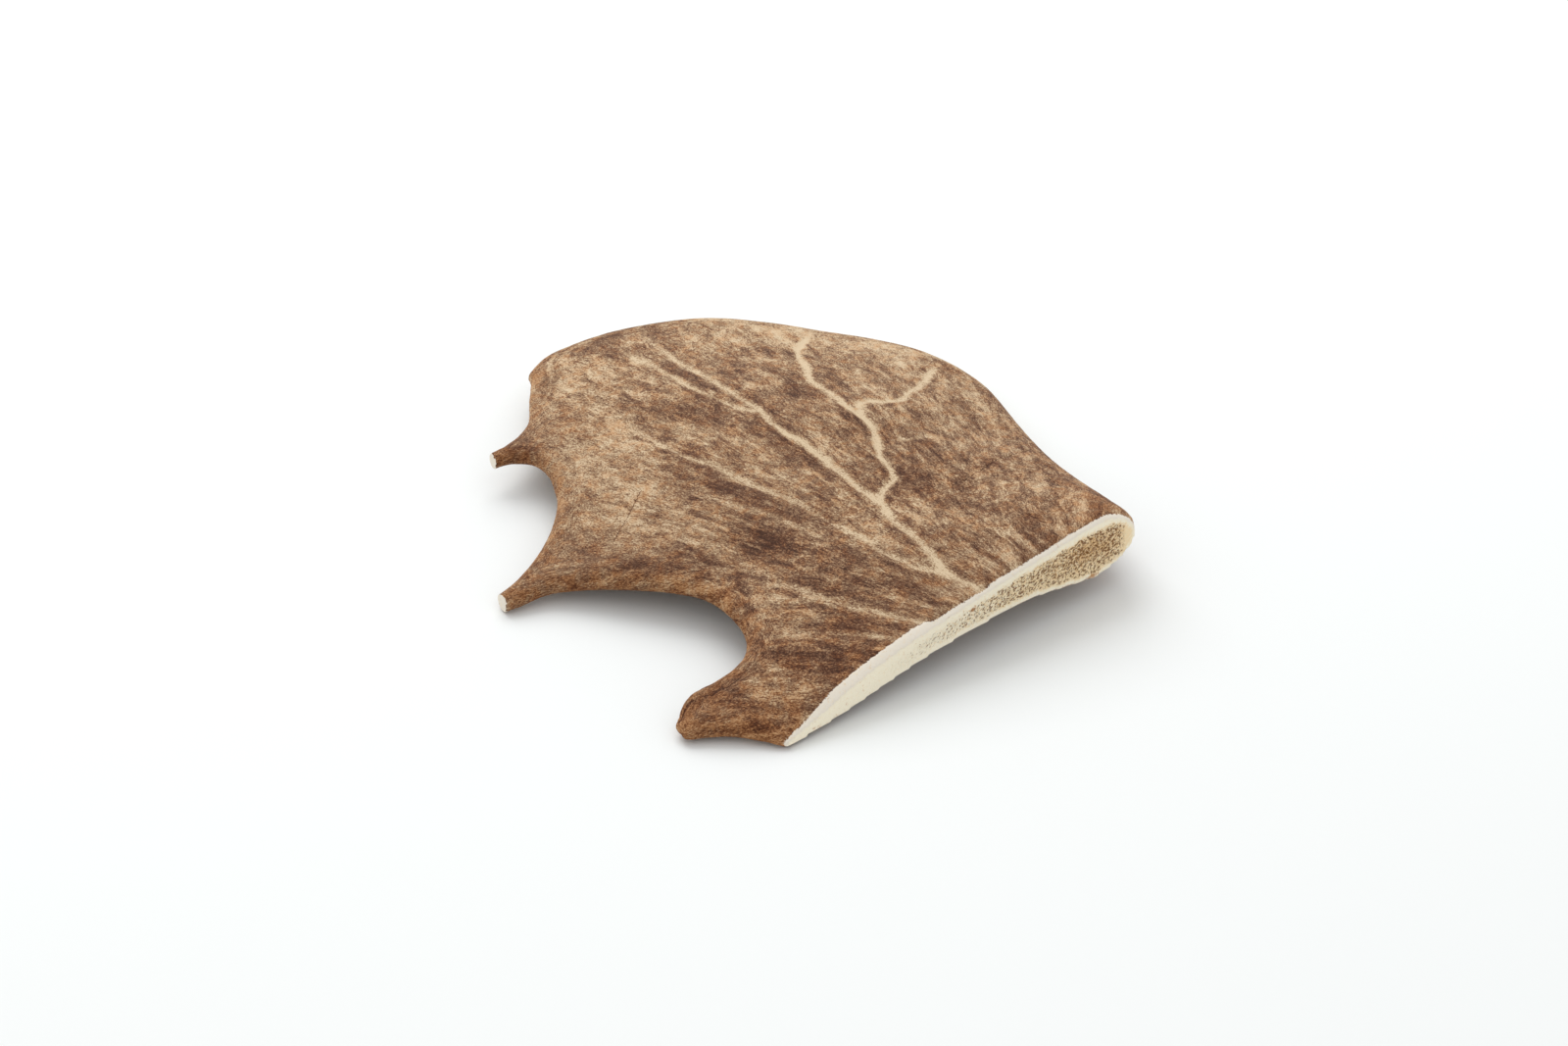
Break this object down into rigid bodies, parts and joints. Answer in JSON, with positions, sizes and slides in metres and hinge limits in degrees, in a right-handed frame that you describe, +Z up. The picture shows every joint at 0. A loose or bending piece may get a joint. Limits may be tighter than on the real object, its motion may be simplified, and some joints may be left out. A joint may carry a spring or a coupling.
{
  "type": "sawn piece of fallow deer antler palm",
  "caption": "Sawn palm of a fallow deer antler, a broad thin bony plate with short tine stumps and a flat saw cut, lying convex side up.",
  "frame": {"origin": "middle of the footprint, on the surface the palm lies on", "axes": "+Z up out of the convex side, +Y from the saw cut into the palm, +X along the saw cut towards its thick end"},
  "size_m": [0.1576, 0.1642, 0.0218],
  "materials": {
    "antler": "satin, rubbed antler surface, with sawn faces of bare bone"
  },
  "bodies": {
    "root": {"antler_palm": "antler"}
  },
  "joints": []
}
